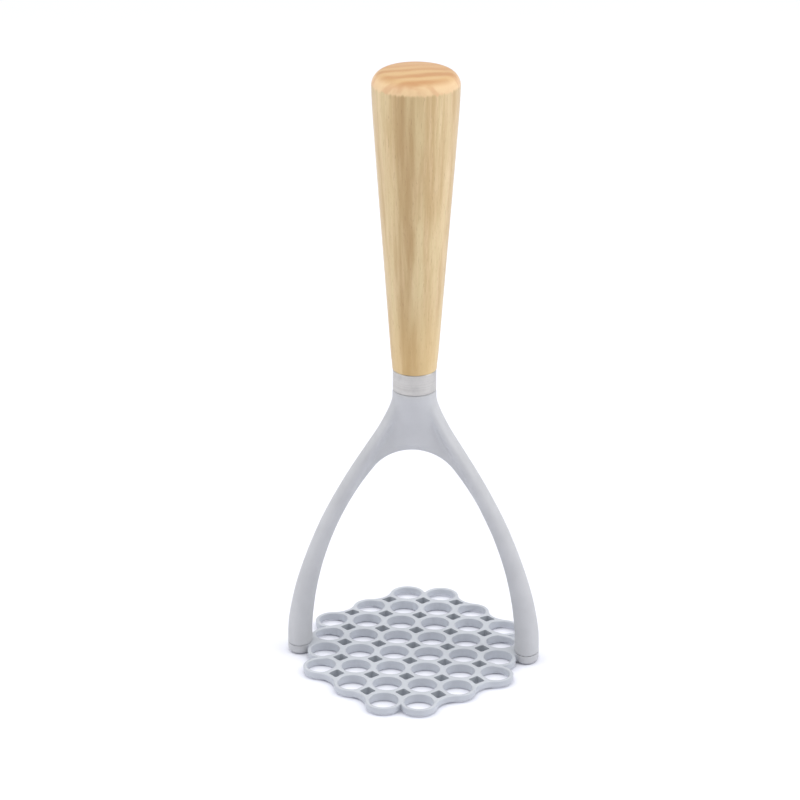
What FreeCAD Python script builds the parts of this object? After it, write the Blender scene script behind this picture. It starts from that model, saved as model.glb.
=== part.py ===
import FreeCAD, Part
import math
import os
from collections import Counter

# Potato masher: a turned wooden handle and a short metal collar over a moulded nylon yoke, whose two
# bowed arms stand on the lugs of a flat lattice plate.
# Millimetres, +Z up. The origin is the middle of the plate's underside, on the handle's axis.
# X runs from one arm to the other, Y along the plate's longer side.

V = FreeCAD.Vector
Z_AXIS = V(0, 0, 1)

# --- mashing plate ---------------------------------------------------------------------------------
PITCH = 14.0                # ring to ring, the same along X and Y
PLATE_THICK = 3.7
HOLE_R = 5.75
RING_R = 7.25               # outer radius of a ring at the plate's edge
DIAMOND_TIP = 3.4           # from the middle of a diamond hole to its four tips
DIAMOND_SIDE_R = 20.0       # its sides bow a little inwards
NOTCH_R = 0.2               # fillet between two rings that stand side by side at the edge
STEP_R = 8.33               # fillet between two rings that stand diagonally at the edge
RINGS_PER_ROW = [2, 4, 6, 6, 6, 6, 4, 2]
EDGE_ROUND = 0.8            # softened outer edge, above and below

# --- lugs under the arms' feet -------------------------------------------------------------------
FOOT_X = 46.1               # middle of a foot
FOOT_WIDTH = 9.9            # along X
FOOT_DEPTH = 12.6           # along Y
LUG_ROUND = 1.4             # underside of the lug
BRIDGE_WIDTH = 9.0          # along Y, between the outermost rings and the lug
BRIDGE_INNER_X = 36.0

# --- yoke ------------------------------------------------------------------------------------------
NECK_TOP_Z = 116.2
NECK_R = 8.65
# Cross sections of one arm from its foot to the neck: outer point (x, z), inner point (x, z), depth.
ARM_SECTIONS = [
    ((51.05, PLATE_THICK), (41.15, PLATE_THICK), FOOT_DEPTH),
    ((50.6, 14.1), (41.05, 13.1), 11.0),
    ((47.9, 28.1), (39.5, 26.0), 9.8),
    ((43.6, 42.1), (36.5, 39.6), 9.0),
    ((38.2, 56.1), (31.9, 53.3), 8.7),
    ((32.5, 68.1), (26.7, 64.9), 8.6),
    ((25.9, 80.1), (20.9, 77.0), 8.7),
    ((19.8, 90.1), (15.6, 87.3), 9.2),
    ((14.3, 99.1), (10.2, 96.7), 9.6),
    ((10.3, 107.1), (5.9, 105.3), 9.6),
    ((7.6, 113.1), (3.1, 112.1), 9.6),
]
WEB_THICK = 4.0             # thin web that closes the crotch between the arms
WEB_EDGE_ROUND = 1.8
ARCH_TOP_Z = 90.1
ARCH_CROWN_R = 19.7
ARCH_SIDE_R = 130.2         # the long arcs of the inner outline, tangent to the crown
ARCH_SIDE_Z = 4.4           # height of the side arcs' centres
ARCH_FOOT_Z = 62.0          # the web ends here
WEB_BURY = 3.0              # how far the web's sides run into the arms
WEB_TOP_Z = 104.0
WEB_TOP_X = 8.0
# The neck turns from a circle under the collar into the web: height, half width, half depth.
NECK_SECTIONS = [
    (NECK_TOP_Z, NECK_R, NECK_R),
    (113.0, 8.7, 8.3),
    (108.0, 8.8, 7.1),
    (102.0, 8.7, 5.2),
    (97.5, 8.3, 3.7),
    (93.5, 7.4, 2.0),
]
SPIGOT_R = 7.6              # both spigots fill the collar's bore
NECK_SPIGOT = 4.0

# --- collar and handle -----------------------------------------------------------------------------
COLLAR_R = 8.6
COLLAR_HEIGHT = 8.5
COLLAR_EDGE = 0.35
HANDLE_SPIGOT = 3.5
HANDLE_TOP_Z = 247.1
HANDLE_END_R = 8.75         # where the wood meets the collar
# Half width of the handle against height: a quick flare off the collar, then a long cone that fills
# out a little towards its top.
HANDLE_PROFILE = [(9.05, 128.3), (9.6, 134.2), (12.0, 166.7), (14.4, 198.7), (16.6, 229.7), (17.1, 240.5)]
HANDLE_TOP_ROUND = 5.7
HANDLE_CROWN = 0.9          # rise of the slightly domed end

# --- fastenings inside -------------------------------------------------------------------------------
STUD_R = 3.0
STUD_BOTTOM_Z = 98.0
STUD_TOP_Z = 143.0
INSERT_R = 4.5
INSERT_BOTTOM_Z = 127.0
INSERT_TOP_Z = 145.0
BORE_SPARE = 2.0            # depth of the handle's bore past the insert
SCREW_R = 1.5
SCREW_TOP_Z = 14.0
SCREW_HEAD_R = 2.8
SCREW_HEAD_HEIGHT = 1.6
SCREW_SINK = 0.3            # how far the head lies above the lug's underside
DRIVE_WIDTH = 0.8           # the cross recess
DRIVE_LENGTH = 3.0
DRIVE_DEPTH = 1.1

COLLAR_TOP_Z = NECK_TOP_Z + COLLAR_HEIGHT
OVERLAP = 0.5               # how far fused shapes run into each other


def save(shape, name):
    shape.exportStep(f"parts/{name}.step")
    solids = shape.Solids
    print(f"{name}: {len(solids)} solid, valid {shape.isValid()}, volume {shape.Volume:.1f}")


def segment(a, b):
    return Part.LineSegment(a, b).toShape()


def arc(a, middle, b):
    return Part.Arc(a, middle, b).toShape()


def cylinder(radius, bottom, top, x=0.0, y=0.0):
    return Part.makeCylinder(radius, top - bottom, V(x, y, bottom), Z_AXIS)


def turned(edges):
    """A solid of revolution about Z from a closed profile in the XZ plane."""
    return Part.Face(Part.Wire(edges)).revolve(V(0, 0, 0), Z_AXIS, 360)


def ellipse_wire(centre, half_u, half_v, u_axis, v_axis):
    """A closed ellipse, with its seam at the end of u_axis; half_u may be the shorter one."""
    normal = u_axis.cross(v_axis)
    circle = Part.makeCircle(1.0)
    frame = FreeCAD.Matrix(
        u_axis.x * half_u, v_axis.x * half_v, normal.x, centre.x,
        u_axis.y * half_u, v_axis.y * half_v, normal.y, centre.y,
        u_axis.z * half_u, v_axis.z * half_v, normal.z, centre.z,
        0, 0, 0, 1)
    return Part.Wire(circle.toNurbs().transformGeometry(frame).Edges)


# --- mashing plate -----------------------------------------------------------------------------------

def ring_centres():
    """Rows from the back (+Y) to the front, each centred on X = 0."""
    rows = len(RINGS_PER_ROW)
    centres = []
    for row, count in enumerate(RINGS_PER_ROW):
        y = ((rows - 1) / 2 - row) * PITCH
        for column in range(count):
            centres.append(V((column - (count - 1) / 2) * PITCH, y, 0))
    return centres


def diamond_centres(centres):
    """The middle of every square with three or four rings at its corners."""
    half = PITCH / 2
    corners = [(-half, -half), (-half, half), (half, -half), (half, half)]
    neighbours = Counter((c.x + dx, c.y + dy) for c in centres for dx, dy in corners)
    return [V(x, y, 0) for (x, y), count in sorted(neighbours.items()) if count >= 3]


def edge_rings():
    """Ring centres along the plate's edge, counter-clockwise seen from above."""
    rows = len(RINGS_PER_ROW)
    right = []
    for row in reversed(range(rows)):
        y = ((rows - 1) / 2 - row) * PITCH
        right.append(V((RINGS_PER_ROW[row] - 1) / 2 * PITCH, y, 0))
    left = [V(-c.x, c.y, 0) for c in reversed(right)]
    return right + left


def outline_wire(rings):
    """Arcs round the outer rings, joined by a fillet between each ring and the next."""
    count = len(rings)
    fillets = []
    for a, b in zip(rings, rings[1:] + rings[:1]):
        span = b - a
        side_by_side = span.Length < (1 + math.sqrt(2)) / 2 * PITCH
        radius = NOTCH_R if side_by_side else STEP_R
        outward = V(span.y, -span.x, 0).normalize()
        half = span.Length / 2
        height = math.sqrt((RING_R + radius) ** 2 - half ** 2)
        middle = (a + b) * 0.5
        centre = middle + outward * height
        share = RING_R / (RING_R + radius)
        fillets.append((a + (centre - a) * share, centre - outward * radius, b + (centre - b) * share))
    edges = []
    for index in range(count):
        ring = rings[index]
        arrive = fillets[index - 1][2]
        start, middle, end = fillets[index]
        outward = ((arrive - ring) + (start - ring)).normalize()
        edges.append(arc(arrive, ring + outward * RING_R, start))
        edges.append(arc(start, middle, end))
    return Part.Wire(edges)


def diamond_wire(centre):
    """Four arcs from tip to tip, bowed inwards."""
    half_chord = DIAMOND_TIP / math.sqrt(2)
    bow = DIAMOND_SIDE_R - math.sqrt(DIAMOND_SIDE_R ** 2 - half_chord ** 2)
    side = DIAMOND_TIP / 2 - bow / math.sqrt(2)
    tips = [V(DIAMOND_TIP, 0, 0), V(0, DIAMOND_TIP, 0), V(-DIAMOND_TIP, 0, 0), V(0, -DIAMOND_TIP, 0)]
    middles = [V(side, side, 0), V(-side, side, 0), V(-side, -side, 0), V(side, -side, 0)]
    edges = []
    for index in range(4):
        edges.append(arc(centre + tips[index], centre + middles[index], centre + tips[(index + 1) % 4]))
    return Part.Wire(edges)


def blank():
    """The plate without its holes, with softened outer edges."""
    slab = Part.Face(outline_wire(edge_rings())).extrude(V(0, 0, PLATE_THICK))
    rims = [edge for edge in slab.Edges if edge.BoundBox.ZLength < 0.01]
    return slab.makeFillet(EDGE_ROUND, rims)


def lug(side):
    """The pad under one arm, with the bridge to the rings."""
    foot = ellipse_wire(V(side * FOOT_X, 0, 0), FOOT_WIDTH / 2, FOOT_DEPTH / 2, V(1, 0, 0), V(0, 1, 0))
    pad = Part.Face(foot).extrude(V(0, 0, PLATE_THICK))
    lower = [edge for edge in pad.Edges if edge.BoundBox.ZMax < 0.01]
    pad = pad.makeFillet(LUG_ROUND, lower)
    length = FOOT_X - BRIDGE_INNER_X
    corner_x = BRIDGE_INNER_X if side > 0 else -FOOT_X
    bridge = Part.makeBox(length, BRIDGE_WIDTH, PLATE_THICK, V(corner_x, -BRIDGE_WIDTH / 2, 0))
    return pad.fuse(bridge)


def mashing_plate():
    centres = ring_centres()
    plate = blank().fuse([lug(-1), lug(1)])
    cutters = []
    for centre in centres:
        cutters.append(cylinder(HOLE_R, -OVERLAP, PLATE_THICK + OVERLAP, centre.x, centre.y))
    for centre in diamond_centres(centres):
        diamond = Part.Face(diamond_wire(centre - V(0, 0, OVERLAP)))
        cutters.append(diamond.extrude(V(0, 0, PLATE_THICK + 2 * OVERLAP)))
    for side in (-1, 1):
        cutters.append(screw_space(side, PLATE_THICK))
    return plate.cut(cutters)


# --- screws ------------------------------------------------------------------------------------------

def screw_space(side, top):
    """The shank and the countersunk head of one screw, from the underside up to a height."""
    x = side * FOOT_X
    cone_top = SCREW_SINK + SCREW_HEAD_HEIGHT
    head = Part.makeCone(SCREW_HEAD_R, SCREW_R, SCREW_HEAD_HEIGHT, V(x, 0, SCREW_SINK), Z_AXIS)
    sink = cylinder(SCREW_HEAD_R, 0, SCREW_SINK, x)
    return sink.fuse([head, cylinder(SCREW_R, cone_top, top, x)])


def plate_screw(side):
    x = side * FOOT_X
    body = screw_space(side, SCREW_TOP_Z).cut(cylinder(SCREW_HEAD_R, 0, SCREW_SINK, x))
    for width, depth in ((DRIVE_LENGTH, DRIVE_WIDTH), (DRIVE_WIDTH, DRIVE_LENGTH)):
        slot = Part.makeBox(width, depth, DRIVE_DEPTH, V(x - width / 2, -depth / 2, SCREW_SINK))
        body = body.cut(slot)
    return body


# --- yoke --------------------------------------------------------------------------------------------

def arm(side):
    sections = []
    for (outer_x, outer_z), (inner_x, inner_z), depth in ARM_SECTIONS:
        outer = V(side * outer_x, 0, outer_z)
        inner = V(side * inner_x, 0, inner_z)
        across = outer - inner
        half = across.Length / 2
        middle = (outer + inner) * 0.5
        sections.append(ellipse_wire(middle, half, depth / 2, across.normalize(), V(0, side, 0)))
    return Part.makeLoft(sections, True, False)


def web():
    """The flat web over the arch, with a rounded lower edge; its sides end inside the arms."""
    crown_z = ARCH_TOP_Z - ARCH_CROWN_R
    reach = ARCH_SIDE_R - ARCH_CROWN_R
    rise = crown_z - ARCH_SIDE_Z
    side_x = -math.sqrt(reach ** 2 - rise ** 2)

    def on_side(z):
        return side_x + math.sqrt(ARCH_SIDE_R ** 2 - (z - ARCH_SIDE_Z) ** 2)

    # The crown and a side arc touch on the line through their centres.
    join_x = -side_x / reach * ARCH_CROWN_R
    join_z = crown_z + rise / reach * ARCH_CROWN_R
    middle_z = (join_z + ARCH_FOOT_Z) / 2
    foot_x = on_side(ARCH_FOOT_Z)
    arch = [
        arc(V(-foot_x, 0, ARCH_FOOT_Z), V(-on_side(middle_z), 0, middle_z), V(-join_x, 0, join_z)),
        arc(V(-join_x, 0, join_z), V(0, 0, ARCH_TOP_Z), V(join_x, 0, join_z)),
        arc(V(join_x, 0, join_z), V(on_side(middle_z), 0, middle_z), V(foot_x, 0, ARCH_FOOT_Z)),
    ]
    corners = [
        V(foot_x, 0, ARCH_FOOT_Z),
        V(foot_x + WEB_BURY, 0, ARCH_FOOT_Z + WEB_BURY / 2),
        V(WEB_TOP_X, 0, WEB_TOP_Z),
        V(-WEB_TOP_X, 0, WEB_TOP_Z),
        V(-foot_x - WEB_BURY, 0, ARCH_FOOT_Z + WEB_BURY / 2),
        V(-foot_x, 0, ARCH_FOOT_Z),
    ]
    rest = [segment(a, b) for a, b in zip(corners, corners[1:])]
    face = Part.Face(Part.Wire(arch + rest))
    slab = face.extrude(V(0, WEB_THICK, 0))
    slab.translate(V(0, -WEB_THICK / 2, 0))
    rims = []
    for edge in slab.Edges:
        if edge.BoundBox.YLength < 0.01 and isinstance(edge.Curve, Part.Circle):
            rims.append(edge)
    return slab.makeFillet(WEB_EDGE_ROUND, rims)


def neck():
    sections = []
    for z, half_width, half_depth in reversed(NECK_SECTIONS):
        sections.append(ellipse_wire(V(0, 0, z), half_width, half_depth, V(1, 0, 0), V(0, 1, 0)))
    return Part.makeLoft(sections, True, False)


def yoke():
    spigot = cylinder(SPIGOT_R, NECK_TOP_Z - OVERLAP, NECK_TOP_Z + NECK_SPIGOT)
    body = neck().fuse([arm(-1), arm(1), web(), spigot])
    body = body.cut(cylinder(STUD_R, STUD_BOTTOM_Z, NECK_TOP_Z + NECK_SPIGOT + OVERLAP))
    for side in (-1, 1):
        body = body.cut(cylinder(SCREW_R, PLATE_THICK - OVERLAP, SCREW_TOP_Z, side * FOOT_X))
    return body


# --- collar, handle and what joins them -------------------------------------------------------------

def collar():
    tube = cylinder(COLLAR_R, NECK_TOP_Z, COLLAR_TOP_Z).cut(cylinder(SPIGOT_R, NECK_TOP_Z, COLLAR_TOP_Z))
    rims = [edge for edge in tube.Edges
            if isinstance(edge.Curve, Part.Circle) and abs(edge.Curve.Radius - COLLAR_R) < 0.01]
    return tube.makeFillet(COLLAR_EDGE, rims)


def handle_side():
    """The handle's half profile from the collar's top edge to the start of the top rounding."""
    points = [V(HANDLE_END_R, 0, COLLAR_TOP_Z)]
    points += [V(x, 0, z) for x, z in HANDLE_PROFILE]
    curve = Part.BSplineCurve()
    curve.interpolate(points)
    return curve.toShape()


def handle():
    side_r, side_z = HANDLE_PROFILE[-1]
    rim = V(side_r, 0, side_z)
    shoulder = V(side_r - HANDLE_TOP_ROUND, 0, HANDLE_TOP_Z - HANDLE_CROWN)
    drop = shoulder.z - rim.z
    diagonal = math.sqrt(0.5)
    corner = V(shoulder.x + HANDLE_TOP_ROUND * diagonal, 0, rim.z + drop * diagonal)
    top = V(0, 0, HANDLE_TOP_Z)
    # The end is a shallow cap of a sphere centred on the axis.
    dome_r = (shoulder.x ** 2 + HANDLE_CROWN ** 2) / (2 * HANDLE_CROWN)
    half_angle = math.asin(shoulder.x / dome_r) / 2
    dome_z = HANDLE_TOP_Z - dome_r
    crown_middle = V(dome_r * math.sin(half_angle), 0, dome_z + dome_r * math.cos(half_angle))
    spigot_z = COLLAR_TOP_Z - HANDLE_SPIGOT
    profile = [
        segment(V(0, 0, spigot_z), V(SPIGOT_R, 0, spigot_z)),
        segment(V(SPIGOT_R, 0, spigot_z), V(SPIGOT_R, 0, COLLAR_TOP_Z)),
        segment(V(SPIGOT_R, 0, COLLAR_TOP_Z), V(HANDLE_END_R, 0, COLLAR_TOP_Z)),
        handle_side(),
        arc(rim, corner, shoulder),
        arc(shoulder, crown_middle, top),
        segment(top, V(0, 0, spigot_z)),
    ]
    wood = turned(profile)
    wood = wood.cut(cylinder(STUD_R, spigot_z - OVERLAP, INSERT_BOTTOM_Z + OVERLAP))
    return wood.cut(cylinder(INSERT_R, INSERT_BOTTOM_Z, INSERT_TOP_Z + BORE_SPARE))


def tang():
    return cylinder(STUD_R, STUD_BOTTOM_Z, STUD_TOP_Z)


def threaded_insert():
    return cylinder(INSERT_R, INSERT_BOTTOM_Z, INSERT_TOP_Z).cut(
        cylinder(STUD_R, INSERT_BOTTOM_Z, INSERT_TOP_Z))


os.makedirs("parts", exist_ok=True)
save(handle(), "handle")
save(collar(), "collar")
save(yoke(), "yoke")
save(mashing_plate(), "mashing_plate")
save(tang(), "tang")
save(threaded_insert(), "threaded_insert")
save(plate_screw(-1), "plate_screw_left")
save(plate_screw(1), "plate_screw_right")
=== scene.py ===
import math
from collections import Counter

import bmesh
import bpy
import numpy as np
import openvdb
from mathutils import Matrix, Vector


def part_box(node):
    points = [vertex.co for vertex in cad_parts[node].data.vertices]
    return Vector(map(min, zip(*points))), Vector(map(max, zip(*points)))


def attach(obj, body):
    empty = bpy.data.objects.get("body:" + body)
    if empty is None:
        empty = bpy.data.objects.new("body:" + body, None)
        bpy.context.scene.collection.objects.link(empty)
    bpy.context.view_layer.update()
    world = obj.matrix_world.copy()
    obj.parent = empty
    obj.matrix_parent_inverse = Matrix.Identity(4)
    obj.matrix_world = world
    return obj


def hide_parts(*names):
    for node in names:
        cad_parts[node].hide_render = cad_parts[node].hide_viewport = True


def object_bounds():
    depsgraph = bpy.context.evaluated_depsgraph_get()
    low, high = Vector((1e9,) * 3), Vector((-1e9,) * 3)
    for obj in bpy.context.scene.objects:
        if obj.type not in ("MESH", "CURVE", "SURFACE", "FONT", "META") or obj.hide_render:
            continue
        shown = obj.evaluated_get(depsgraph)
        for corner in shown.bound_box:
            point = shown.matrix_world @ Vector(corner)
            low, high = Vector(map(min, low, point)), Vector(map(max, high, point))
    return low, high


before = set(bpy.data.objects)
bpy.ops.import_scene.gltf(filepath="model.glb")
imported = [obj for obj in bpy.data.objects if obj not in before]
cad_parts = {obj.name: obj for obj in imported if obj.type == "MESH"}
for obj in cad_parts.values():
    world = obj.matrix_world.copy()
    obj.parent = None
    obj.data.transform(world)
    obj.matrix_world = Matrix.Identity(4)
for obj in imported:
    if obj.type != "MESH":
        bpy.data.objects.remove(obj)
cad_low, cad_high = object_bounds()

# A potato masher: turned wooden handle, satin metal collar, moulded nylon yoke and lattice plate.
# Shapes are worked out in millimetres and scaled to metres when a mesh is made.
MM = 0.001


def node_box(node):
    """Lowest and highest corner of a CAD node, in millimetres."""
    low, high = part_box(node)
    return low / MM, high / MM


# --- sizes from the frame ----------------------------------------------------------------------------
_, plate_high = node_box("mashing_plate")
PLATE_TOP = plate_high.z
screw_low, screw_high = node_box("plate_screw_right")
FOOT_X = (screw_low.x + screw_high.x) / 2
SCREW_HEAD_R = (screw_high.x - screw_low.x) / 2
SCREW_TOP = screw_high.z
SCREW_SINK = screw_low.z
tang_low, tang_high = node_box("tang")
STUD_R = tang_high.x
STUD_BOTTOM = tang_low.z
insert_low, insert_high = node_box("threaded_insert")
INSERT_R = insert_high.x
collar_low, collar_high = node_box("collar")
COLLAR_R = collar_high.x
COLLAR_BOTTOM = collar_low.z
COLLAR_TOP = collar_high.z
_, handle_high = node_box("handle")
HANDLE_R = handle_high.x
HANDLE_TOP = handle_high.z
_, yoke_high = node_box("yoke")
SPIGOT_TOP = yoke_high.z

# --- plate -------------------------------------------------------------------------------------------
PITCH = 14.0
RINGS_PER_ROW = [2, 4, 6, 6, 6, 6, 4, 2]
RING_R = plate_high.y - (len(RINGS_PER_ROW) - 1) / 2 * PITCH
HOLE_R = 5.75
DIAMOND_TIP = 3.4
DIAMOND_SIDE_R = 20.0
DIAMOND_TIP_R = 0.7
NOTCH_R = 0.2               # fillet between two rings that stand side by side at the edge
STEP_R = 8.33               # fillet between two rings that stand diagonally at the edge
OUTER_ROUND = 0.7
HOLE_ROUND = 0.35
DIAMOND_ROUND = 0.25
RIM_THINNING = 0.19         # share of its thickness that the plate loses along its outer rim
RIM_FADE = (4.5, 1.7)       # distances from the outline where the thinning starts and is complete
LUG_FADE_X = (35.0, 39.0)   # the rim keeps its full thickness beside the lugs
LUG_FADE_Y = (10.0, 7.0)
LUG_TINT_X = (4.4, 2.8)     # distances inside a foot's middle where the lugs' tint starts and is complete
LUG_HALF_X = plate_high.x - FOOT_X
LUG_HALF_Y = 6.3
LUG_SEAM_ROUND = 0.06
LUG_LOWER_ROUND = 1.4
BRIDGE_HALF = 4.5
SCREW_R = 1.5
SCREW_CONE = 1.6
SEGMENT = 0.6
SHORTEST_ARC = 5
CORNER_STEPS = 5
LUG_STEPS = 48
SCREW_STEPS = 40
ROUND_STEPS = 5

# --- yoke --------------------------------------------------------------------------------------------
VOXEL = 0.4
FIELD_BAND = 4 * VOXEL      # the field is kept to this distance from the surface
SECTION_STEPS = 16          # curve points from one section to the next
# Cross sections of one arm, foot to neck: outer point (x, z), inner point (x, z), depth.
ARM_SECTIONS = [
    ((51.05, -6.0), (41.15, -6.0), 12.6),
    ((51.05, 3.7), (41.15, 3.7), 12.6),
    ((50.6, 14.1), (41.05, 13.1), 11.0),
    ((47.9, 28.1), (39.5, 26.0), 9.8),
    ((43.6, 42.1), (36.5, 39.6), 9.0),
    ((38.2, 56.1), (31.9, 53.3), 8.7),
    ((32.5, 68.1), (26.7, 64.9), 8.6),
    ((25.9, 80.1), (20.9, 77.0), 8.7),
    ((19.8, 90.1), (15.6, 87.3), 9.2),
    ((14.3, 99.1), (10.2, 96.7), 9.6),
    ((10.3, 107.1), (5.9, 105.3), 9.6),
    ((7.6, 113.1), (3.1, 112.1), 9.6),
]
# The neck, from the collar down into the web: height, half width, half depth.
NECK_SECTIONS = [
    (118.0, 8.65, 8.65),
    (COLLAR_BOTTOM, 8.65, 8.65),
    (113.0, 8.7, 8.3),
    (108.0, 8.8, 7.1),
    (102.0, 8.7, 5.2),
    (97.5, 8.3, 3.7),
    (93.5, 7.4, 2.0),
]
NECK_RIM_ROUND = 1.0
ARCH_TOP = 90.1
ARCH_CROWN_R = 19.7
ARCH_SIDE_R = 130.2
ARCH_SIDE_Z = 4.4
WEB_HALF = 2.0
WEB_EDGE_ROUND = 1.8
WEB_ROUND_SHARE = 0.85      # most of its half thickness that the web's edge may round away
WEB_END = COLLAR_BOTTOM - 6
WEB_FADE = (62.0, 84.0)     # between these heights the web thins away down the arms
WEB_BLEND = 1.5             # width of the fillet between an arm and the web
NECK_BLEND = 3.0
NECK_FADE = (115.0, 104.0)  # the neck's fillet closes up towards the collar
LEAST_BLEND = 0.15
FOOT_ROUND = 0.15

# --- collar and handle -------------------------------------------------------------------------------
SPIGOT_R = 7.6
SPIGOT_ROOT = COLLAR_BOTTOM - 1
HANDLE_END_R = 8.75
HANDLE_SPIGOT = 3.5
BORE_SPARE = 2.0
# Half width of the handle against height: a quick flare off the collar, then a long cone.
HANDLE_SIDE = [(9.05, 128.3), (9.6, 134.2), (12.0, 166.7), (14.4, 198.7), (16.6, 229.7), (HANDLE_R, 240.5)]
HANDLE_TOP_ROUND = 5.7
HANDLE_CROWN = 0.9          # rise of the slightly domed end
HANDLE_SIDE_STEPS = 12
HANDLE_ROUND_STEPS = 14
HANDLE_CROWN_STEPS = 8
WOOD_END_ROUND = 0.45
COLLAR_EDGE_ROUND = 0.35
TURNED_STEPS = 160
WOOD_RING = 0.0064          # metres from one growth ring to the next
WOOD_LOW_END = 38.0         # height above the collar where the wood begins to turn yellower

# --- camera and light (metres) -----------------------------------------------------------------------
AIM_HEIGHT = 0.4497 * (cad_high.z - cad_low.z)
CAMERA_ANGLES = (5.57, 22.343, 0.2)     # azimuth, elevation, roll
CAMERA_DISTANCE = 1.37645
CAMERA_SIDESTEP = -0.005674
CAMERA_LENS = 157.136
WORLD_STRENGTH = 0.5
FLOOR_HALF = 4.0
FLOOR_DROP = 0.0002         # keeps the floor just below the plate's underside


# === mesh helpers ====================================================================================

def make_piece(name, vertices, faces, material, slot, *nodes):
    """A mesh from millimetre vertices that stands for the named CAD nodes."""
    mesh = bpy.data.meshes.new(name)
    mesh.from_pydata([tuple(v) for v in np.asarray(vertices, float) * MM], [], faces)
    mesh.validate()
    mesh.shade_smooth()
    piece = bpy.data.objects.new(name, mesh)
    bpy.context.scene.collection.objects.link(piece)
    mesh.materials.append(material)
    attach(piece, "root")
    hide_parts(*nodes)
    return piece


def clean_mesh(piece, by_area=True):
    """Joins points that meet and turns every face outwards; by_area also weighs normals by face area."""
    bm = bmesh.new()
    bm.from_mesh(piece.data)
    bmesh.ops.remove_doubles(bm, verts=bm.verts, dist=1e-7)
    bmesh.ops.dissolve_degenerate(bm, edges=bm.edges, dist=1e-8)
    bmesh.ops.recalc_face_normals(bm, faces=bm.faces)
    bm.to_mesh(piece.data)
    bm.free()
    if by_area:
        modifier = piece.modifiers.new("weighted normals", "WEIGHTED_NORMAL")
        modifier.keep_sharp = True


def smooth_curve(points, steps):
    """A Catmull-Rom curve through points of any dimension, steps to a span."""
    points = np.asarray(points, float)
    padded = np.vstack([2 * points[0] - points[1], points, 2 * points[-1] - points[-2]])
    t = np.linspace(0, 1, steps, endpoint=False)[:, None]
    spans = []
    for a, b, c, d in zip(padded, padded[1:], padded[2:], padded[3:]):
        spans.append(0.5 * (2 * b + (c - a) * t + (2 * a - 5 * b + 4 * c - d) * t ** 2
                            + (3 * b - a - 3 * c + d) * t ** 3))
    return np.vstack(spans + [points[-1:]])


def smooth_step(value, low, high):
    share = np.clip((value - low) / (high - low), 0, 1)
    return share * share * (3 - 2 * share)


def softened(corners, steps=4):
    """A path of (x, y, corner radius), with each corner that has a radius rounded by an arc."""
    path = []
    for index, (x, y, radius) in enumerate(corners):
        corner = np.array([x, y])
        if radius == 0:
            path.append(corner)
            continue
        before = np.array(corners[index - 1][:2]) - corner
        after = np.array(corners[index + 1][:2]) - corner
        before /= np.linalg.norm(before)
        after /= np.linalg.norm(after)
        half = math.acos(np.clip(before @ after, -1, 1)) / 2
        centre = corner + (before + after) / np.linalg.norm(before + after) * radius / math.sin(half)
        start = corner + before * radius / math.tan(half)
        end = corner + after * radius / math.tan(half)
        for share in np.linspace(0, 1, steps + 1):
            spoke = (start - centre) * (1 - share) + (end - centre) * share
            path.append(centre + spoke / np.linalg.norm(spoke) * radius)
    return path


def lathe(profile, closed):
    """Vertices and faces of a profile (radius, height) turned about Z; radius 0 makes a pole."""
    angles = np.linspace(0, 2 * math.pi, TURNED_STEPS, endpoint=False)
    vertices = []
    rings = []
    for radius, height in profile:
        start = len(vertices)
        if radius < 1e-6:
            vertices.append((0, 0, height))
            rings.append([start] * TURNED_STEPS)
            continue
        for angle in angles:
            vertices.append((radius * math.cos(angle), radius * math.sin(angle), height))
        rings.append([start + step for step in range(TURNED_STEPS)])
    pairs = list(zip(rings, rings[1:]))
    if closed:
        pairs.append((rings[-1], rings[0]))
    faces = []
    for lower, upper in pairs:
        for step in range(TURNED_STEPS):
            following = (step + 1) % TURNED_STEPS
            corners = [lower[step], lower[following], upper[following], upper[step]]
            faces.append(list(dict.fromkeys(corners)))
    return vertices, faces


# === materials =======================================================================================

def srgb(red, green, blue):
    """A display colour, 0 to 255, as linear RGBA."""
    def linear(value):
        value /= 255
        return value / 12.92 if value <= 0.04045 else ((value + 0.055) / 1.055) ** 2.4
    return linear(red), linear(green), linear(blue), 1.0


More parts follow.
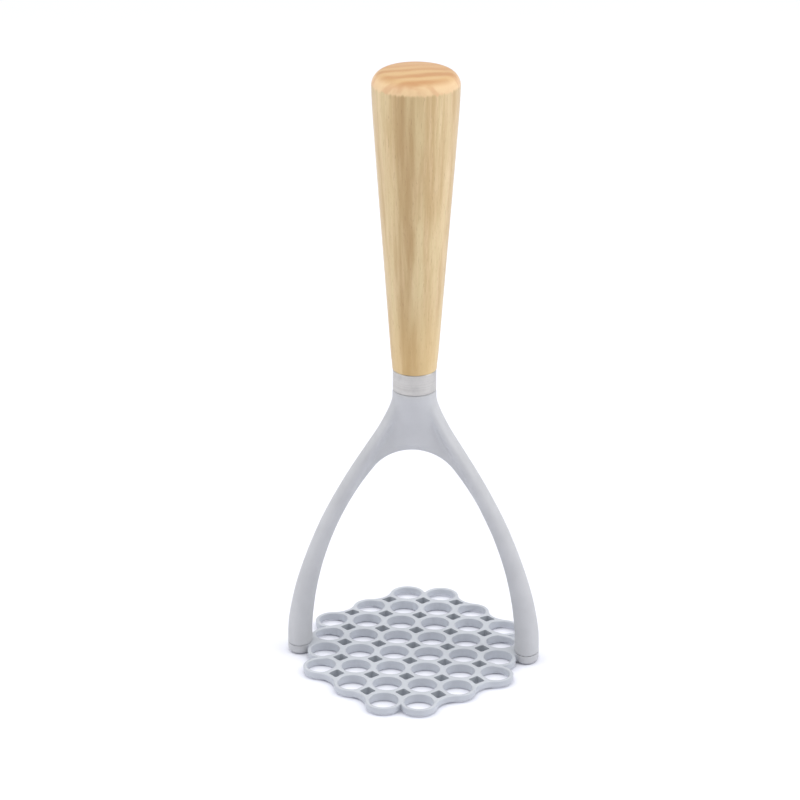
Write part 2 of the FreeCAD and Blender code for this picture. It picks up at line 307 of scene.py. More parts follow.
class Shader:
    """A node tree with a principled shader; each method adds one node and returns its output socket."""

    def __init__(self, name):
        self.material = bpy.data.materials.new(name)
        self.material.use_nodes = True
        self.tree = self.material.node_tree
        self.tree.nodes.clear()
        output = self.tree.nodes.new("ShaderNodeOutputMaterial")
        self.surface = self.tree.nodes.new("ShaderNodeBsdfPrincipled")
        self.tree.links.new(self.surface.outputs[0], output.inputs[0])
        self.place = self.tree.nodes.new("ShaderNodeTexCoord").outputs["Object"]

    def put(self, socket, value):
        if isinstance(value, bpy.types.NodeSocket):
            self.tree.links.new(value, socket)
        else:
            socket.default_value = value

    def node(self, kind, inputs, output=0, **settings):
        node = self.tree.nodes.new(kind)
        for key, value in settings.items():
            setattr(node, key, value)
        for key, value in inputs.items():
            self.put(node.inputs[key], value)
        return node.outputs[output]

    def scaled(self, x, y, z, vector=None):
        """Coordinates multiplied per axis: a texture of scale 1 then varies over 1/x metres along X."""
        return self.node("ShaderNodeMapping", {"Vector": vector or self.place, "Scale": (x, y, z)})

    def noise(self, vector, scale=1.0, detail=2.0, roughness=0.5):
        return self.node("ShaderNodeTexNoise",
                         {"Vector": vector, "Scale": scale, "Detail": detail, "Roughness": roughness})

    def math(self, operation, a, b=0.0):
        return self.node("ShaderNodeMath", {0: a, 1: b}, operation=operation)

    def vector(self, operation, a, b):
        return self.node("ShaderNodeVectorMath", {0: a, 1: b}, operation=operation)

    def ramp(self, value, low, high, to_low=0.0, to_high=1.0):
        """A smooth step of value between low and high."""
        return self.node("ShaderNodeMapRange", {
            "Value": value, "From Min": low, "From Max": high, "To Min": to_low, "To Max": to_high,
        }, interpolation_type="SMOOTHSTEP")

    def mix(self, share, a, b):
        return self.node("ShaderNodeMix", {0: share, 6: a, 7: b}, 2, data_type="RGBA")

    def multiply(self, share, a, b):
        return self.node("ShaderNodeMix", {0: share, 6: a, 7: b}, 2, data_type="RGBA", blend_type="MULTIPLY")

    def bump(self, height, distance, strength=1.0, below=None):
        inputs = {"Height": height, "Distance": distance, "Strength": strength}
        if below is not None:
            inputs["Normal"] = below
        return self.node("ShaderNodeBump", inputs)

    def finish(self, **inputs):
        for key, value in inputs.items():
            self.put(self.surface.inputs[key.replace("_", " ")], value)
        return self.material


def growth_layers(shader):
    """Phase and waviness of layers about a pith line behind the handle, a little out of plumb."""
    bend = shader.noise(shader.scaled(38, 38, 6), detail=2.0)
    shift = shader.math("MULTIPLY", shader.math("SUBTRACT", bend, 0.5), 0.008)
    leaning = shader.node("ShaderNodeMapping", {
        "Vector": shader.place, "Location": (0.016, -0.058, 0.0), "Rotation": (0.02, 0.012, 0.0)})
    flat = shader.vector("MULTIPLY", leaning, (1.0, 1.0, 0.0))
    reach = shader.node("ShaderNodeVectorMath", {0: flat}, 1, operation="LENGTH")
    rings = shader.math("MULTIPLY", shader.math("ADD", reach, shift), 2 * math.pi / WOOD_RING)
    return rings, shift


def end_grain(shader, rings, pores, facing):
    """Bands that fade towards a pale, patchy rim, which is a painted highlight along the rounded shoulder;
    the half behind the axis is darker.
    """
    patches = shader.noise(shader.scaled(70, 160, 70), detail=3.0, roughness=0.6)
    bands = shader.math("ADD", shader.math("SINE", rings), shader.math("MULTIPLY", patches, 3.0))
    colour = shader.mix(shader.ramp(bands, 0.4, 2.8), srgb(208, 171, 119), srgb(190, 140, 89))
    colour = shader.mix(shader.ramp(pores, 0.55, 0.75, 0.0, 0.3), colour, srgb(177, 127, 81))
    # Painted highlight: the rounded shoulder of the end turns paler the more it faces sideways.
    rim_highlight = shader.mix(shader.ramp(patches, 0.45, 0.62), srgb(238, 208, 165), srgb(222, 180, 139))
    colour = shader.mix(shader.ramp(facing, 0.98, 0.5, 0.0, 0.75), colour, rim_highlight)
    depth = shader.node("ShaderNodeSeparateXYZ", {0: shader.place}, 1)
    return shader.mix(shader.ramp(depth, -0.003, 0.006, 0.0, 0.72), colour, srgb(203, 157, 108))


def wood_material():
    """Pale rubberwood: soft growth layers, a darker streak of painted shade left of the axis, fine pores and
    warmer end grain.
    """
    shader = Shader("wood")
    rings, shift = growth_layers(shader)
    ring_wave = shader.ramp(shader.math("SINE", rings), -0.9, 1.0)
    # Streaks of colour along the grain, from broad to fine.
    broad = shader.noise(shader.scaled(210, 210, 6), detail=3.0, roughness=0.55)
    medium = shader.noise(shader.scaled(650, 650, 18), detail=3.0, roughness=0.6)
    fine = shader.noise(shader.scaled(2600, 2600, 90), detail=2.0, roughness=0.6)
    pores = shader.noise(shader.scaled(3800, 3800, 210), detail=1.0)
    cloud = shader.noise(shader.place, scale=24.0, detail=2.0)
    colour = shader.mix(shader.ramp(broad, 0.34, 0.66), srgb(196, 167, 120), srgb(218, 198, 153))
    colour = shader.mix(shader.ramp(medium, 0.4, 0.7, 0.0, 0.55), colour, srgb(225, 199, 159))
    colour = shader.mix(shader.ramp(cloud, 0.45, 0.75, 0.0, 0.35), colour, srgb(203, 182, 133))
    colour = shader.mix(shader.ramp(ring_wave, 0.2, 1.0, 0.0, 0.12), colour, srgb(181, 142, 99))
    # Painted shade: a darker streak left of the axis, where the handle's front is darkest between the side
    # lights. It is drawn like a heartwood layer that runs through from front to back.
    across = shader.math("ADD", shader.node("ShaderNodeSeparateXYZ", {0: shader.place}, 0), shift)
    painted_middle_shade = shader.math("MULTIPLY", shader.ramp(across, -0.010, -0.006), shader.ramp(across, 0.006, -0.002))
    painted_middle_shade = shader.math("MULTIPLY", painted_middle_shade, shader.ramp(broad, 0.66, 0.36, 0.15, 0.6))
    colour = shader.mix(painted_middle_shade, colour, srgb(171, 139, 93))
    colour = shader.mix(shader.ramp(fine, 0.5, 0.8, 0.0, 0.3), colour, srgb(182, 146, 102))
    colour = shader.mix(shader.ramp(pores, 0.64, 0.74, 0.0, 0.35), colour, srgb(142, 108, 72))
    # The lower end is a deeper yellow.
    height = shader.node("ShaderNodeSeparateXYZ", {0: shader.place}, 2)
    low_end = shader.ramp(height, (COLLAR_TOP + WOOD_LOW_END) * MM, COLLAR_TOP * MM, 0.0, 0.4)
    colour = shader.mix(low_end, colour, srgb(211, 176, 116))
    # End grain shows where the surface faces up.
    normal = shader.tree.nodes.new("ShaderNodeNewGeometry").outputs["Normal"]
    facing = shader.node("ShaderNodeSeparateXYZ", {0: normal}, 2)
    end_share = shader.ramp(shader.math("ADD", facing, shader.math("MULTIPLY", medium, 0.4)), 0.2, 0.42)
    colour = shader.mix(end_share, colour, end_grain(shader, rings, pores, facing))
    rough = shader.ramp(fine, 0.3, 0.8, 0.46, 0.6)
    relief = shader.bump(fine, 0.00006, 0.5)
    relief = shader.bump(pores, 0.00008, 0.4, relief)
    return shader.finish(Base_Color=colour, Roughness=rough, Normal=relief, Specular_IOR_Level=0.4,
                         Sheen_Weight=0.25, Sheen_Roughness=0.4)


def painted_diamond_shade(shader):
    """Share of painted shade: 1 on the walls of the plate's diamond holes, whose middles lie whole pitches
    from the origin.
    """
    gaps = []
    for axis in (0, 1):
        along = shader.node("ShaderNodeSeparateXYZ", {0: shader.place}, axis)
        gaps.append(shader.math("PINGPONG", along, PITCH / 2 * MM))
    total = shader.math("ADD", *gaps)
    normal = shader.tree.nodes.new("ShaderNodeNewGeometry").outputs["Normal"]
    upward = shader.node("ShaderNodeSeparateXYZ", {0: normal}, 2)
    inside = shader.ramp(total, (DIAMOND_TIP + 0.25) * MM, (DIAMOND_TIP + 0.1) * MM)
    return shader.math("MULTIPLY", inside, shader.ramp(upward, 0.7, 0.2))


def on_lugs(shader):
    """1 on the plate's lugs, which lie outside the outermost rings."""
    along = shader.node("ShaderNodeSeparateXYZ", {0: shader.place}, 0)
    return shader.ramp(shader.math("ABSOLUTE", along), *[(FOOT_X - inside) * MM for inside in LUG_TINT_X])


def nylon_material(name, colour, shade, gloss, grain, inner=None, lug=None):
    """Moulded nylon: a faint cloudiness, fine specks and a sparked mould texture."""
    shader = Shader(name)
    cloud = shader.noise(shader.place, scale=70.0, detail=3.0, roughness=0.55)
    specks = shader.noise(shader.place, scale=2600.0, detail=2.0, roughness=0.6)
    texture = shader.noise(shader.place, scale=3600.0, detail=1.0)
    flow = shader.noise(shader.scaled(220, 220, 30), detail=2.0)
    mixed = shader.mix(shader.ramp(cloud, 0.35, 0.7), colour, shade)
    mixed = shader.mix(shader.ramp(flow, 0.4, 0.7, 0.0, 0.25), mixed, shade)
    mixed = shader.multiply(shader.ramp(specks, 0.55, 0.8, 0.0, 0.1), mixed, srgb(162, 163, 169))
    # Painted shade: the walls of the small diamond holes take the darker colour given as inner.
    if inner is not None:
        mixed = shader.mix(painted_diamond_shade(shader), mixed, inner)
    if lug is not None:
        mixed = shader.mix(on_lugs(shader), mixed, lug)
    rough = shader.ramp(cloud, 0.3, 0.7, gloss - 0.04, gloss + 0.05)
    relief = shader.bump(texture, grain, 0.5)
    return shader.finish(Base_Color=mixed, Roughness=rough, Normal=relief, Specular_IOR_Level=0.45)


def satin_metal_material():
    """Turned and brushed: fine lines round the axis and faint blotches."""
    shader = Shader("satin_metal")
    lines = shader.noise(shader.scaled(18, 18, 9000), detail=3.0, roughness=0.7)
    blotch = shader.noise(shader.place, scale=260.0, detail=3.0)
    colour = shader.mix(shader.ramp(lines, 0.3, 0.75), srgb(203, 201, 197), srgb(180, 177, 172))
    colour = shader.mix(shader.ramp(blotch, 0.45, 0.75, 0.0, 0.35), colour, srgb(167, 165, 164))
    rough = shader.ramp(lines, 0.3, 0.75, 0.34, 0.48)
    relief = shader.bump(lines, 0.00002, 0.35)
    return shader.finish(Base_Color=colour, Roughness=rough, Metallic=1.0, Normal=relief)


def machined_material(name, light, dark, roughness):
    """Plain machined metal for the fastenings."""
    shader = Shader(name)
    lines = shader.noise(shader.scaled(60, 60, 5200), detail=2.0)
    stain = shader.noise(shader.place, scale=420.0, detail=3.0)
    colour = shader.mix(shader.ramp(lines, 0.3, 0.7), light, dark)
    colour = shader.mix(shader.ramp(stain, 0.5, 0.8, 0.0, 0.3), colour, dark)
    rough = shader.ramp(lines, 0.3, 0.7, roughness - 0.06, roughness + 0.08)
    relief = shader.bump(lines, 0.00003, 0.4)
    return shader.finish(Base_Color=colour, Roughness=rough, Metallic=1.0, Normal=relief)


def floor_material():
    """A plain pale sweep with the slightest unevenness."""
    shader = Shader("floor")
    cloud = shader.noise(shader.place, scale=3.0, detail=2.0)
    colour = shader.mix(cloud, srgb(237, 238, 246), srgb(240, 241, 249))
    return shader.finish(Base_Color=colour, Roughness=0.9, Specular_IOR_Level=0.1)


# === the handle and the collar =======================================================================

def make_handle(material):
    """Turned wood with its spigot, bore and insert pocket; softened where it meets the collar."""
    spigot_bottom = COLLAR_TOP - HANDLE_SPIGOT
    pocket_top = insert_high.z + BORE_SPARE
    inside = [
        (0, pocket_top, 0), (INSERT_R, pocket_top, 0), (INSERT_R, insert_low.z, 0), (STUD_R, insert_low.z, 0),
        (STUD_R, spigot_bottom, 0), (SPIGOT_R, spigot_bottom, 0), (SPIGOT_R, COLLAR_TOP, 0),
        (HANDLE_END_R, COLLAR_TOP, WOOD_END_ROUND), (*HANDLE_SIDE[0], 0),
    ]
    profile = softened(inside)[:-1]
    side = smooth_curve([(HANDLE_END_R, COLLAR_TOP)] + HANDLE_SIDE, HANDLE_SIDE_STEPS)
    profile += [point for point in side if point[1] > COLLAR_TOP + 2 * WOOD_END_ROUND]
    rim_r, rim_z = HANDLE_SIDE[-1]
    shoulder_r = rim_r - HANDLE_TOP_ROUND
    shoulder_z = HANDLE_TOP - HANDLE_CROWN
    for angle in np.linspace(0, math.pi / 2, HANDLE_ROUND_STEPS + 1)[1:]:
        profile.append((shoulder_r + HANDLE_TOP_ROUND * math.cos(angle),
                        rim_z + (shoulder_z - rim_z) * math.sin(angle)))
    for share in np.linspace(1, 0, HANDLE_CROWN_STEPS + 1)[1:]:
        profile.append((shoulder_r * share, HANDLE_TOP - HANDLE_CROWN * share ** 2))
    vertices, faces = lathe(profile, closed=False)
    clean_mesh(make_piece("turned_handle", vertices, faces, material, "wood", "handle"))


def make_collar(material):
    """A tube with its two outer edges rounded."""
    outline = [
        (SPIGOT_R, COLLAR_BOTTOM, 0), (COLLAR_R, COLLAR_BOTTOM, COLLAR_EDGE_ROUND),
        (COLLAR_R, COLLAR_TOP, COLLAR_EDGE_ROUND), (SPIGOT_R, COLLAR_TOP, 0),
    ]
    vertices, faces = lathe(softened(outline), closed=True)
    clean_mesh(make_piece("satin_collar", vertices, faces, material, "satin_metal", "collar"))


# === the yoke ========================================================================================
# It is a field of distances to its surface, negative inside, turned into a mesh at its zero level.

def blend_min(a, b, reach):
    """The union of two fields with a fillet about reach wide."""
    share = np.clip(0.5 + 0.5 * (b - a) / reach, 0, 1)
    return b * (1 - share) + a * share - reach * share * (1 - share)


def blend_max(a, b, reach):
    return -blend_min(-a, -b, reach)


def ellipse_field(u, v, half_u, half_v):
    """Near the surface, the distance to an ellipse."""
    scaled = np.sqrt((u / half_u) ** 2 + (v / half_v) ** 2)
    slope = np.sqrt((u / half_u ** 2) ** 2 + (v / half_v ** 2) ** 2)
    return scaled * (scaled - 1) / np.maximum(slope, 1e-6)


def arm_field(x, y, z):
    """One arm, and how far each point of the XZ plane lies outside its centre line."""
    sections = np.array([(*outer, *inner, depth) for outer, inner, depth in ARM_SECTIONS])
    curve = smooth_curve(sections, SECTION_STEPS)
    outer = curve[:, 0:2]
    inner = curve[:, 2:4]
    centre = (outer + inner) / 2
    half_width = np.linalg.norm(outer - inner, axis=1) / 2
    half_depth = curve[:, 4] / 2
    tangent = np.gradient(centre, axis=0)
    tangent /= np.linalg.norm(tangent, axis=1)[:, None]
    outward = np.stack([tangent[:, 1], -tangent[:, 0]], axis=1)
    plane = np.stack(np.broadcast_arrays(x[:, 0, :], z[:, 0, :]), axis=-1)
    across = np.empty(plane.shape[:2])
    width = np.empty(plane.shape[:2])
    depth = np.empty(plane.shape[:2])
    for row, points in enumerate(plane):
        offset = points[:, None, :] - centre[None, :, :]
        nearest = np.argmin((offset ** 2).sum(axis=2), axis=1)
        picked = offset[np.arange(len(points)), nearest]
        across[row] = (picked * outward[nearest]).sum(axis=1)
        width[row] = half_width[nearest]
        depth[row] = half_depth[nearest]
    field = ellipse_field(across[:, None, :], y, width[:, None, :], depth[:, None, :])
    return field, across[:, None, :]


def arch_distance(x, z):
    """How far a point lies above the arch's outline: a crown arc and a long arc each side of it."""
    crown_z = ARCH_TOP - ARCH_CROWN_R
    reach = ARCH_SIDE_R - ARCH_CROWN_R
    rise = crown_z - ARCH_SIDE_Z
    side_x = -math.sqrt(reach ** 2 - rise ** 2)
    from_crown = np.hypot(x, z - crown_z) - ARCH_CROWN_R
    from_side = np.hypot(x - side_x, z - ARCH_SIDE_Z) - ARCH_SIDE_R
    in_crown = (z - crown_z) * -side_x > x * rise
    return np.where(in_crown, from_crown, from_side)


def fade(z, heights):
    """From LEAST_BLEND at the first height to 1 at the second."""
    share = np.clip((z - heights[0]) / (heights[1] - heights[0]), 0, 1)
    return LEAST_BLEND + (1 - LEAST_BLEND) * share


def web_field(x, y, z, across):
    """The thin web over the arch; it fades out down the arms' inner edges."""
    half = WEB_HALF * fade(z, WEB_FADE)
    edge_round = np.minimum(WEB_EDGE_ROUND, half * WEB_ROUND_SHARE)
    outline = np.maximum(-arch_distance(x, z), across)
    out = outline + edge_round
    side = y - half + edge_round
    field = np.hypot(np.maximum(out, 0), np.maximum(side, 0)) + np.minimum(np.maximum(out, side), 0)
    return np.maximum(field - edge_round, z - WEB_END)


def neck_field(x, y, z):
    """The neck: round under the collar, then ever flatter until it sinks into the web."""
    sections = np.array(NECK_SECTIONS)[::-1]
    curve = smooth_curve(sections, SECTION_STEPS)
    half_width = np.interp(z, curve[:, 0], curve[:, 1])
    half_depth = np.interp(z, curve[:, 0], curve[:, 2])
    field = ellipse_field(x, y, half_width, half_depth)
    return np.maximum(field, sections[0][0] - z)


def yoke_field(x, y, z):
    """Arms, web and neck joined by fillets, cut flat at both ends, with the spigot, bore and screw holes."""
    arm, across = arm_field(x, y, z)
    body = blend_min(arm, web_field(x, y, z, across), WEB_BLEND * fade(z, WEB_FADE))
    body = blend_min(body, neck_field(x, y, z), NECK_BLEND * fade(z, NECK_FADE))
    body = blend_max(body, z - COLLAR_BOTTOM, NECK_RIM_ROUND)
    body = blend_max(body, PLATE_TOP - z, FOOT_ROUND)
    from_axis = np.hypot(x, y)
    spigot = np.maximum(from_axis - SPIGOT_R, np.maximum(z - SPIGOT_TOP, SPIGOT_ROOT - z))
    body = np.minimum(body, spigot)
    bore = np.maximum(from_axis - STUD_R, STUD_BOTTOM - z)
    screw_hole = np.maximum(np.hypot(x - FOOT_X, y) - SCREW_R, z - SCREW_TOP)
    return np.maximum(body, -np.minimum(bore, screw_hole))


def make_yoke(material):
    low = np.array([-LUG_HALF_X - FOOT_X, -COLLAR_R, PLATE_TOP]) - FIELD_BAND
    high = np.array([LUG_HALF_X + FOOT_X, COLLAR_R, SPIGOT_TOP]) + FIELD_BAND
    counts = np.ceil((high - low) / VOXEL).astype(int) + 1
    # The grid is centred on X = 0 and Y = 0, so the mesh is the same left and right, front and back.
    low[:2] = -(counts[:2] - 1) / 2 * VOXEL
    x, y, z = (low[axis] + np.arange(counts[axis]) * VOXEL for axis in range(3))
    field = yoke_field(np.abs(x)[:, None, None], np.abs(y)[None, :, None], z[None, None, :])
    grid = openvdb.FloatGrid(background=FIELD_BAND)
    grid.copyFromArray(np.clip(field, -FIELD_BAND, FIELD_BAND).astype(np.float32))
    points, quads = grid.convertToQuads(0.0)
    piece = make_piece("nylon_yoke", points * VOXEL + low, quads.tolist(), material, "yoke_nylon", "yoke")
    clean_mesh(piece, by_area=False)


# === the plate =======================================================================================
# Each outline is a list of (x, y, normal x, normal y, upper rounding, lower rounding), where the normal
# points out of the material.

def ring_centres():
    rows = len(RINGS_PER_ROW)
    centres = []
    for row, count in enumerate(RINGS_PER_ROW):
        for column in range(count):
            centres.append(((column - (count - 1) / 2) * PITCH, ((rows - 1) / 2 - row) * PITCH))
    return centres


def diamond_centres(centres):
    """The middle of every square with three or four rings at its corners."""
    neighbours = Counter((x + dx, y + dy) for x, y in centres
                         for dx in (-PITCH / 2, PITCH / 2) for dy in (-PITCH / 2, PITCH / 2))
    return [centre for centre, count in neighbours.items() if count >= 3]


def arc_points(centre, radius, start, end, hollow, upper, lower):
    """Points of an arc from one angle to another; hollow when its centre is outside the material."""
    count = max(SHORTEST_ARC, math.ceil(abs(end - start) * radius / SEGMENT))
    turned = -1 if hollow else 1
    points = []
    for angle in np.linspace(start, end, count + 1):
        nx, ny = math.cos(angle), math.sin(angle)
        x, y = centre[0] + radius * nx, centre[1] + radius * ny
        points.append((x, y, turned * nx, turned * ny, upper, lower))
    return points


def round_hole(centre, radius, rim):
    return arc_points(centre, radius, 0, 2 * math.pi, True, rim, rim)[:-1]


def diamond_hole(centre):
    """Four sides bowed a little inwards, and small rounded tips."""
    # The sides' centres lie on the diagonals, a distance that puts both ends of a side on the axes.
    chord = DIAMOND_TIP * math.sqrt(2)
    half = (chord / 2 + math.sqrt(DIAMOND_SIDE_R ** 2 - chord ** 2 / 4)) / math.sqrt(2)
    reach = half - math.sqrt((DIAMOND_SIDE_R + DIAMOND_TIP_R) ** 2 - half ** 2)
    lean = math.atan2(half, half - reach)
    rim = DIAMOND_ROUND
    points = []
    for turn in (0, math.pi / 2, math.pi, 3 * math.pi / 2):
        c, s = math.cos(turn), math.sin(turn)
        tip_at = (centre[0] + reach * c, centre[1] + reach * s)
        side_at = (centre[0] + half * (c - s), centre[1] + half * (s + c))
        side_start = turn + math.pi + lean
        side_end = turn + 3 * math.pi / 2 - lean
        points += arc_points(tip_at, DIAMOND_TIP_R, turn - lean, turn + lean, True, rim, rim)[:-1]
        points += arc_points(side_at, DIAMOND_SIDE_R, side_start, side_end, False, rim, rim)[:-1]
    return points


def edge_rings():
    """Ring centres along the plate's edge, counter-clockwise seen from above."""
    rows = len(RINGS_PER_ROW)
    right = []
    for row in reversed(range(rows)):
        right.append(((RINGS_PER_ROW[row] - 1) / 2 * PITCH, ((rows - 1) / 2 - row) * PITCH))
    return right + [(-x, y) for x, y in reversed(right)]


def corner_fan(x, y, start, end, upper, lower):
    """An inner corner: one place whose normal turns from one angle to another."""
    points = []
    for angle in np.linspace(start, end, CORNER_STEPS):
        points.append((x, y, math.cos(angle), math.sin(angle), upper, lower))
    return points


def lug_detour(side):
    """The outline from the ring before a lug, round the lug, to the ring after it."""
    widest = (max(RINGS_PER_ROW) - 1) / 2 * PITCH
    ring_angle = math.asin((PITCH / 2 - BRIDGE_HALF) / RING_R)
    ring_x = widest + RING_R * math.cos(ring_angle)
    meet = math.asin(BRIDGE_HALF / LUG_HALF_Y)
    lug_x = FOOT_X - LUG_HALF_X * math.cos(meet)
    slope = math.atan2(-math.sin(meet) / LUG_HALF_Y, -math.cos(meet) / LUG_HALF_X)
    seam, under = LUG_SEAM_ROUND, LUG_LOWER_ROUND
    points = corner_fan(ring_x, -BRIDGE_HALF, ring_angle, -math.pi / 2, OUTER_ROUND, OUTER_ROUND)
    points += corner_fan(lug_x, -BRIDGE_HALF, -math.pi / 2, slope, seam, under)
    for turn in np.linspace(meet - math.pi, math.pi - meet, LUG_STEPS):
        c, s = math.cos(turn), math.sin(turn)
        normal = Vector((c / LUG_HALF_X, s / LUG_HALF_Y)).normalized()
        points.append((FOOT_X + LUG_HALF_X * c, LUG_HALF_Y * s, *normal, seam, under))
    points += corner_fan(lug_x, BRIDGE_HALF, -slope, math.pi / 2, seam, under)
    points += corner_fan(ring_x, BRIDGE_HALF, math.pi / 2, -ring_angle, OUTER_ROUND, OUTER_ROUND)
    return [(side * x, side * y, side * nx, side * ny, upper, lower) for x, y, nx, ny, upper, lower in points]


def angle_to(a, b):
    return math.atan2(b[1] - a[1], b[0] - a[0])


def plate_outline():
    """Arcs round the outer rings, joined by fillets, with a detour round each lug."""
    rings = edge_rings()
    joints = []
    for a, b in zip(rings, rings[1:] + rings[:1]):
        ax, ay, bx, by = *a, *b
        length = math.hypot(bx - ax, by - ay)
        # A lug stands between the two middle rings of each side.
        if ax == bx and abs(ay) == PITCH / 2 and by == -ay:
            lean = math.asin((PITCH / 2 - BRIDGE_HALF) / RING_R)
            side = math.copysign(1, ax)
            base = 0 if side > 0 else math.pi
            joints.append((base + lean, base - lean, lug_detour(side)))
            continue
        side_by_side = length < (1 + math.sqrt(2)) / 2 * PITCH
        radius = NOTCH_R if side_by_side else STEP_R
        height = math.sqrt((RING_R + radius) ** 2 - (length / 2) ** 2)
        centre = ((ax + bx) / 2 + (by - ay) / length * height, (ay + by) / 2 - (bx - ax) / length * height)
        start = angle_to(centre, a)
        end = angle_to(centre, b)
        if end > start:
            end -= 2 * math.pi
        fillet = arc_points(centre, radius, start, end, True, OUTER_ROUND, OUTER_ROUND)[1:-1]
        joints.append((angle_to(a, centre), angle_to(b, centre), fillet))
    outline = []
    for index, ring in enumerate(rings):
        start = joints[index - 1][1]
        end, _, joint = joints[index]
        while end < start:
            end += 2 * math.pi
        outline += arc_points(ring, RING_R, start, end, False, OUTER_ROUND, OUTER_ROUND) + joint
    return outline


def near_rim(points, rim):
    """1 along the plate's outline, fading to 0 a few millimetres inside it and beside the lugs."""
    points = np.asarray(points, float)
    gap = np.full(len(points), np.inf)
    for x, y in rim:
        gap = np.minimum(gap, np.hypot(points[:, 0] - x, points[:, 1] - y))
    at_lug = smooth_step(np.abs(points[:, 0]), *LUG_FADE_X) * smooth_step(np.abs(points[:, 1]), *LUG_FADE_Y)
    return smooth_step(gap, *RIM_FADE) * (1 - at_lug)


def eased_hole(centre, rim):
    """A round hole whose upper rim is rounded like the plate's outline where the two run side by side."""
    hole = round_hole(centre, HOLE_R, HOLE_ROUND)
    shares = near_rim([point[:2] for point in hole], rim)
    eased = []
    for (x, y, nx, ny, _, _), share in zip(hole, shares):
        rounding = HOLE_ROUND + (OUTER_ROUND - HOLE_ROUND) * share
        eased.append((x, y, nx, ny, rounding, HOLE_ROUND))
    return eased


def rounded_wall(outline):
    """Rows of points down a wall, from the upper face to the lower one."""
    rows = []
    for angle in np.linspace(0, math.pi / 2, ROUND_STEPS + 1):
        inset, drop = 1 - math.sin(angle), 1 - math.cos(angle)
        rows.append([(x - nx * inset * upper, y - ny * inset * upper, PLATE_TOP - drop * upper)
                     for x, y, nx, ny, upper, _ in outline])
    for angle in np.linspace(0, math.pi / 2, ROUND_STEPS + 1):
        inset, rise = 1 - math.cos(angle), 1 - math.sin(angle)
        rows.append([(x - nx * inset * lower, y - ny * inset * lower, rise * lower)
                     for x, y, nx, ny, _, lower in outline])
    return rows


def screw_wall(x):
    """Rows of points down a countersunk hole."""
    cone_top = SCREW_SINK + SCREW_CONE
    profile = [(SCREW_R, PLATE_TOP), (SCREW_R, cone_top), (SCREW_HEAD_R, SCREW_SINK), (SCREW_HEAD_R, 0)]
    step = 2 * math.pi / SCREW_STEPS
    rows = []
    for radius, z in profile:
        rows.append([(x + radius * math.cos(i * step), radius * math.sin(i * step), z)
                     for i in range(SCREW_STEPS)])
    return rows


def make_plate(material):
    """Walls for the outline and every hole, both faces filled between them, and the rim thinned."""
    centres = ring_centres()
    outline = plate_outline()
    rim = [(x, y) for x, y, *_ in outline]
    walls = [rounded_wall(outline), screw_wall(-FOOT_X), screw_wall(FOOT_X)]
    walls += [rounded_wall(eased_hole(centre, rim)) for centre in centres]
    walls += [rounded_wall(diamond_hole(centre)) for centre in diamond_centres(centres)]
    bm = bmesh.new()
    upper_edges, lower_edges = [], []
    for rows in walls:
        made = [[bm.verts.new(point) for point in row] for row in rows]
        for upper, lower in zip(made, made[1:]):
            for index in range(len(upper)):
                bm.faces.new((upper[index - 1], upper[index], lower[index], lower[index - 1]))
        for row, edges in ((made[0], upper_edges), (made[-1], lower_edges)):
            for index in range(len(row)):
                edges.append(bm.edges.get((row[index - 1], row[index])))
    for edges in (upper_edges, lower_edges):
        bmesh.ops.triangle_fill(bm, edges=edges, use_beauty=True, use_dissolve=False)
    bm.verts.index_update()
    vertices = np.array([vertex.co for vertex in bm.verts])
    middle = PLATE_TOP / 2
    vertices[:, 2] = middle + (vertices[:, 2] - middle) * (1 - RIM_THINNING * near_rim(vertices, rim))
    faces = [[vertex.index for vertex in face.verts] for face in bm.faces]
    bm.free()
    clean_mesh(make_piece("lattice_plate", vertices, faces, material, "plate_nylon", "mashing_plate"))


# === the rest of the scene ===========================================================================

def show_fastenings():
    """The CAD nodes that stay as they are get their finish."""
    steel = machined_material("steel", srgb(195, 196, 198), srgb(160, 161, 163), 0.32)
    brass = machined_material("brass", srgb(211, 181, 116), srgb(177, 142, 83), 0.3)
    for node, material in (("tang", steel), ("threaded_insert", brass),
                           ("plate_screw_left", steel), ("plate_screw_right", steel)):
        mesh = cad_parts[node].data
        mesh.materials.clear()
        mesh.materials.append(material)


def make_floor():
    mesh = bpy.data.meshes.new("floor")
    corners = [(FLOOR_HALF * x, FLOOR_HALF * y, 0) for x, y in ((-1, -1), (1, -1), (1, 1), (-1, 1))]
    mesh.from_pydata(corners, [], [(0, 1, 2, 3)])
    floor = bpy.data.objects.new("floor", mesh)
    floor.location.z = -FLOOR_DROP
    bpy.context.scene.collection.objects.link(floor)
    mesh.materials.append(floor_material())


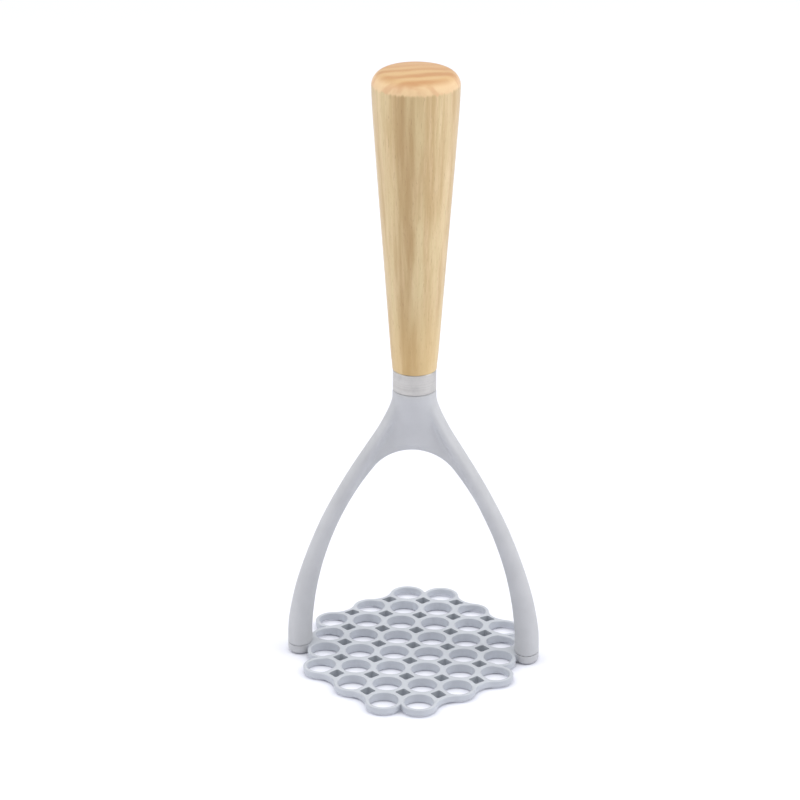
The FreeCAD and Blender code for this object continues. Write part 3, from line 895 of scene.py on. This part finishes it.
def softbox(name, place, size, power, colour=(1.0, 1.0, 1.0)):
    """An area light aimed at the middle of the object."""
    data = bpy.data.lights.new(name, "AREA")
    data.shape = "RECTANGLE"
    data.size, data.size_y = size
    data.energy = power
    data.color = colour
    light = bpy.data.objects.new(name, data)
    bpy.context.scene.collection.objects.link(light)
    light.location = place
    aim = Vector((0, 0, AIM_HEIGHT)) - Vector(place)
    light.rotation_mode = "QUATERNION"
    light.rotation_quaternion = aim.to_track_quat("-Z", "Y")


def make_lights():
    world = bpy.data.worlds.new("studio")
    bpy.context.scene.world = world
    world.use_nodes = True
    background = world.node_tree.nodes["Background"]
    background.inputs["Color"].default_value = (1.0, 1.0, 1.0, 1.0)
    background.inputs["Strength"].default_value = WORLD_STRENGTH
    softbox("left_box", (-0.9, -0.25, 0.55), (0.8, 0.8), 2.35)
    softbox("right_box", (0.95, -0.1, 0.5), (0.8, 0.8), 3.6)
    softbox("top_box", (0.0, 0.1, 2.3), (4.6, 4.6), 76.0)


def make_camera():
    azimuth, elevation, roll = (math.radians(angle) for angle in CAMERA_ANGLES)
    back = Vector((math.sin(azimuth) * math.cos(elevation), -math.cos(azimuth) * math.cos(elevation),
                   math.sin(elevation)))
    level_right = (-back).cross(Vector((0, 0, 1))).normalized()
    level_up = level_right.cross(-back)
    right = level_right * math.cos(roll) + level_up * math.sin(roll)
    up = level_up * math.cos(roll) - level_right * math.sin(roll)
    data = bpy.data.cameras.new("camera")
    data.lens = CAMERA_LENS
    data.sensor_width = 36.0
    camera = bpy.data.objects.new("camera", data)
    bpy.context.scene.collection.objects.link(camera)
    place = Vector((0, 0, AIM_HEIGHT)) + level_right * CAMERA_SIDESTEP + back * CAMERA_DISTANCE
    turn = Matrix((right, up, back)).transposed().to_4x4()
    camera.matrix_world = Matrix.Translation(place) @ turn
    bpy.context.scene.camera = camera


make_handle(wood_material())
make_collar(satin_metal_material())
make_yoke(nylon_material("yoke_nylon", srgb(191, 192, 195), srgb(184, 185, 188), 0.52, 0.00006))
# The plate's inner colour is painted shade for the walls of its diamond holes.
make_plate(nylon_material("plate_nylon", srgb(192, 196, 203), srgb(185, 189, 196), 0.36, 0.00003,
                          inner=srgb(168, 173, 180), lug=srgb(184, 185, 188)))
show_fastenings()
make_floor()
make_lights()
make_camera()
bpy.context.scene.view_settings.view_transform = "Standard"
